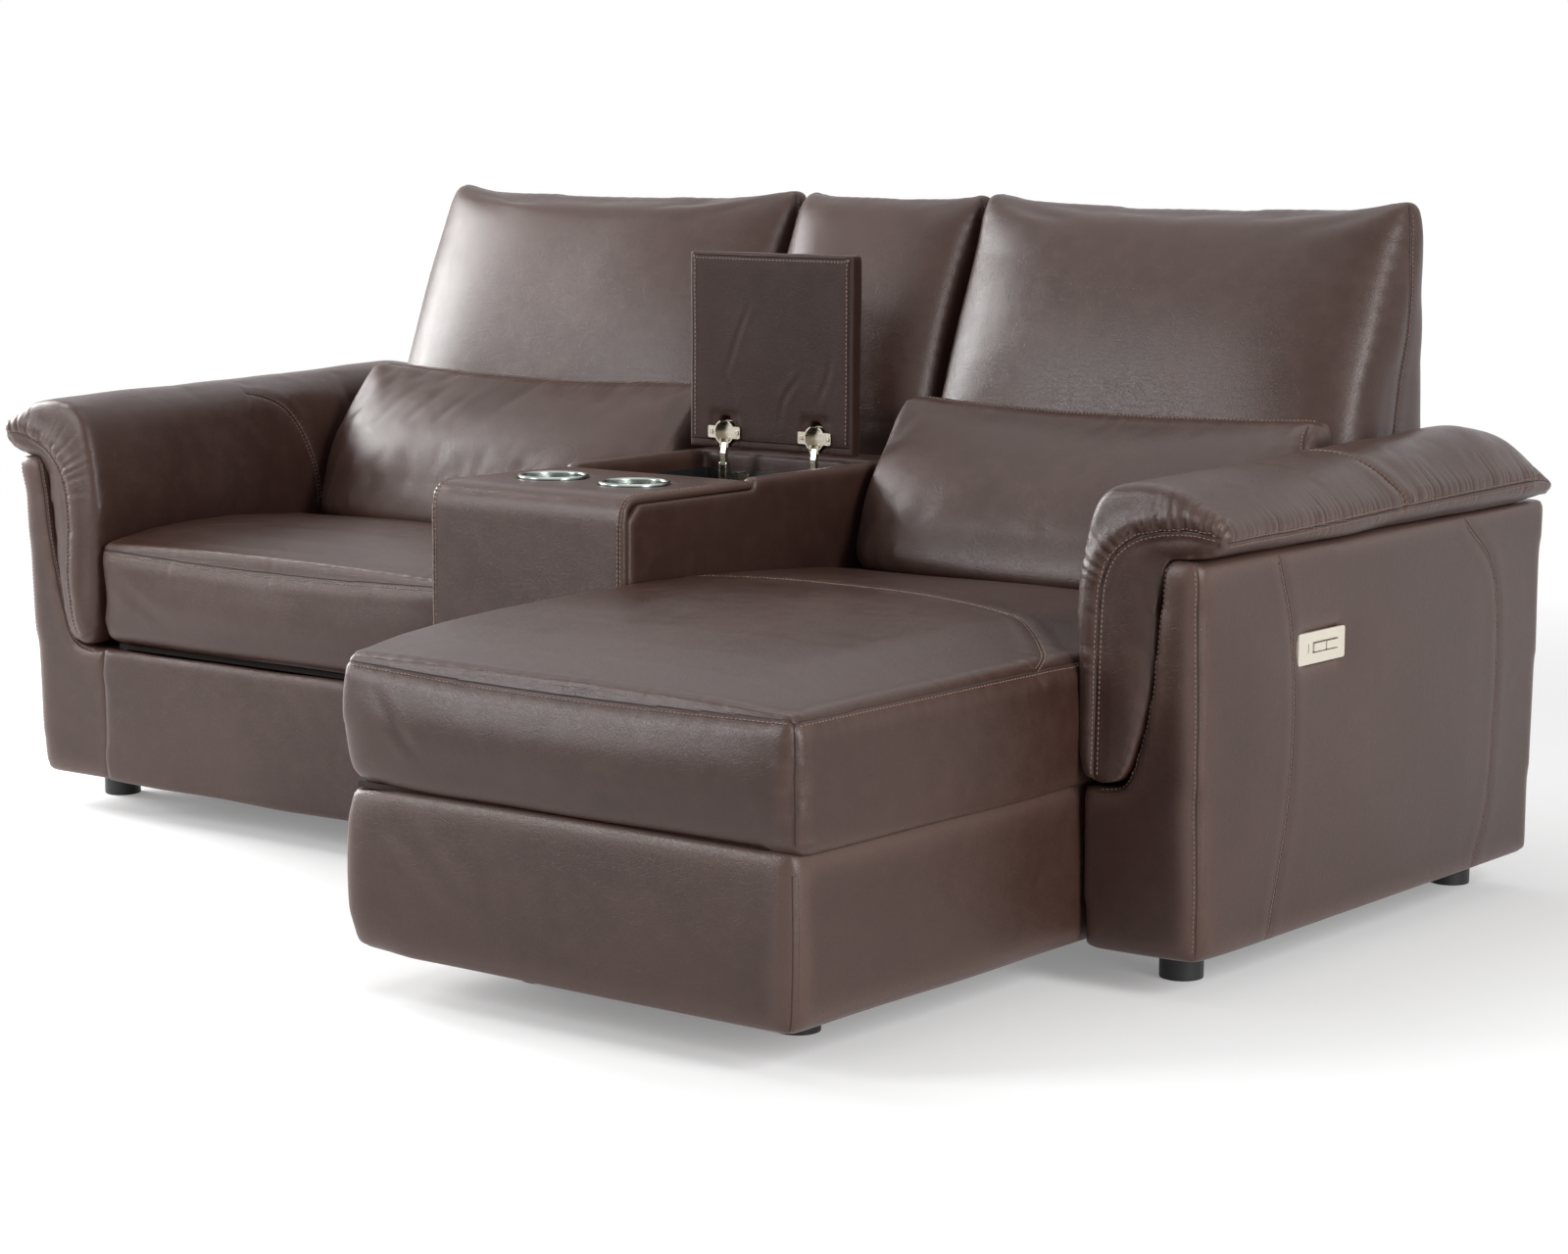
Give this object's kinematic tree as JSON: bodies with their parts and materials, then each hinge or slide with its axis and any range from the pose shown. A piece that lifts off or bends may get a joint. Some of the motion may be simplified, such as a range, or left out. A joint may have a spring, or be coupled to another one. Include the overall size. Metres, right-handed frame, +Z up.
{
  "type": "reclining sectional sofa",
  "caption": "Dark leather reclining sectional sofa: a recliner seat with swing-up footrest, a console with cup holders and hinged storage lid, and a chaise, between padded arms.",
  "frame": {"origin": "floor level, in the middle of the sofa's footprint", "axes": "+X along the row towards the chaise, +Y to the back, +Z up"},
  "size_m": [2.1842, 1.4941, 0.9499],
  "materials": {
    "leather": "semi-gloss grained dark brown leather with reddish brown topstitching",
    "plywood": "plain birch plywood",
    "webbing": "woven elastic webbing on a wooden rim",
    "dark_steel": "black powder coat",
    "bright_steel": "polished",
    "nickel": "nickel plated",
    "black_plastic": "fine satin",
    "switch_ivory": "satin ivory"
  },
  "bodies": {
    "sofa": {"left_arm_shell": "leather", "right_arm_shell": "leather", "left_arm_pad": "leather", "right_arm_pad": "leather", "left_base_outer_side": "plywood", "left_base_inner_side": "plywood", "left_rear_panel": "leather", "left_seat_deck": "webbing", "left_seat_cushion": "leather", "recliner_plates": "dark_steel", "footrest_motor": "black_plastic", "left_back_motor": "black_plastic", "console_body": "leather", "console_cover": "leather", "left_cup_holder": "bright_steel", "right_cup_holder": "bright_steel", "storage_bin": "black_plastic", "middle_back_frame": "leather", "middle_back_cushion": "leather", "lid_hinge_arms": "nickel", "lid_hinge_plates": "nickel", "lid_hinge_screws": "nickel", "chaise_base": "leather", "chaise_deck": "webbing", "chaise_cushion": "leather", "chaise_back_supports": "dark_steel", "chaise_back_motor": "black_plastic", "switch_plate": "switch_ivory", "switch_box": "black_plastic", "motor_brackets": "dark_steel", "connector_plates": "dark_steel", "feet": "black_plastic"},
    "footrest_panel": {"left_footrest_pad": "leather", "left_footrest_board": "plywood", "footrest_brackets": "dark_steel"},
    "footrest_drive_links": {"lower_links_near": "dark_steel", "torque_tube": "dark_steel"},
    "footrest_lift_links": {"upper_links_near": "dark_steel"},
    "footrest_front_links": {"upper_links_far": "dark_steel"},
    "footrest_cross_links": {"lower_links_far": "dark_steel"},
    "footrest_rod": {"footrest_motor_rod": "bright_steel"},
    "left_back": {"left_back_frame": "leather", "left_back_cushion": "leather", "left_lumbar_cushion": "leather", "left_back_hinges": "dark_steel"},
    "left_back_rod": {"left_back_motor_rod": "bright_steel"},
    "chaise_back": {"chaise_back_frame": "leather", "chaise_back_cushion": "leather", "chaise_lumbar_cushion": "leather", "chaise_back_hinges": "dark_steel"},
    "chaise_back_rod": {"chaise_back_motor_rod": "bright_steel"},
    "lid_links": {"lid_hinge_links": "nickel"},
    "storage_lid": {"lid_board": "leather", "lid_cover": "leather", "lid_hinge_cups": "nickel", "lid_cup_screws": "nickel"},
    "front_key": {"front_switch_key": "switch_ivory"},
    "rear_key": {"rear_switch_key": "switch_ivory"}
  },
  "joints": [
    {"name": "footrest_open", "type": "hinge", "parent": "sofa", "child": "footrest_drive_links", "pos_m": [-0.525, -0.04788, 0.222], "axis": [-1, 0, 0], "range_deg": [0, 72]},
    {"name": "footrest_lift", "type": "hinge", "parent": "footrest_drive_links", "child": "footrest_lift_links", "pos_m": [-0.525, -0.06923, 0.14231], "axis": [1, 0, 0], "range_deg": [0, 120]},
    {"name": "footrest_front", "type": "hinge", "parent": "footrest_drive_links", "child": "footrest_front_links", "pos_m": [-0.525, -0.09058, 0.06262], "axis": [1, 0, 0], "range_deg": [0, 120]},
    {"name": "footrest_cross", "type": "hinge", "parent": "footrest_front_links", "child": "footrest_cross_links", "pos_m": [-0.525, -0.11193, 0.14231], "axis": [-1, 0, 0], "range_deg": [0, 120]},
    {"name": "footrest_tilt", "type": "hinge", "parent": "footrest_front_links", "child": "footrest_panel", "pos_m": [-0.525, -0.13328, 0.222], "axis": [-1, 0, 0], "range_deg": [0, 138]},
    {"name": "footrest_push", "type": "slide", "parent": "sofa", "child": "footrest_rod", "axis": [0, -1, 0], "range_m": [0, 0.07053]},
    {"name": "left_recline", "type": "hinge", "parent": "sofa", "child": "left_back", "pos_m": [-0.525, 0.37712, 0.4], "axis": [-1, 0, 0], "range_deg": [0, 25]},
    {"name": "left_pull", "type": "slide", "parent": "sofa", "child": "left_back_rod", "axis": [0, -1, 0], "range_m": [0, 0.08658]},
    {"name": "chaise_recline", "type": "hinge", "parent": "sofa", "child": "chaise_back", "pos_m": [0.5375, 0.37712, 0.4], "axis": [-1, 0, 0], "range_deg": [0, 25]},
    {"name": "chaise_pull", "type": "slide", "parent": "sofa", "child": "chaise_back_rod", "axis": [0, -1, 0], "range_m": [0, 0.08658]},
    {"name": "lid_link_turn", "type": "hinge", "parent": "sofa", "child": "lid_links", "pos_m": [0.0125, 0.32162, 0.5535], "axis": [-1, 0, 0], "range_deg": [0, 90]},
    {"name": "lid_close", "type": "hinge", "parent": "lid_links", "child": "storage_lid", "pos_m": [0.0125, 0.32412, 0.585], "axis": [1, 0, 0], "range_deg": [0, 180]},
    {"name": "front_key_press", "type": "slide", "parent": "sofa", "child": "front_key", "axis": [-1, 0, 0], "range_m": [0, 0.0015], "stiffness_N_per_m": 400},
    {"name": "rear_key_press", "type": "slide", "parent": "sofa", "child": "rear_key", "axis": [-1, 0, 0], "range_m": [0, 0.0015], "stiffness_N_per_m": 400}
  ],
  "couplings": [
    {"joint": "footrest_lift", "follows": "footrest_open", "ratio": 1.6667},
    {"joint": "footrest_front", "follows": "footrest_open", "ratio": 1.6667},
    {"joint": "footrest_cross", "follows": "footrest_open", "ratio": 1.6667},
    {"joint": "footrest_tilt", "follows": "footrest_open", "ratio": 1.9167},
    {"joint": "footrest_push", "follows": "footrest_open", "m_per_rad": 0.056129},
    {"joint": "left_pull", "follows": "left_recline", "m_per_rad": 0.19842},
    {"joint": "chaise_pull", "follows": "chaise_recline", "m_per_rad": 0.19842},
    {"joint": "lid_link_turn", "follows": "lid_close", "ratio": 0.5}
  ]
}
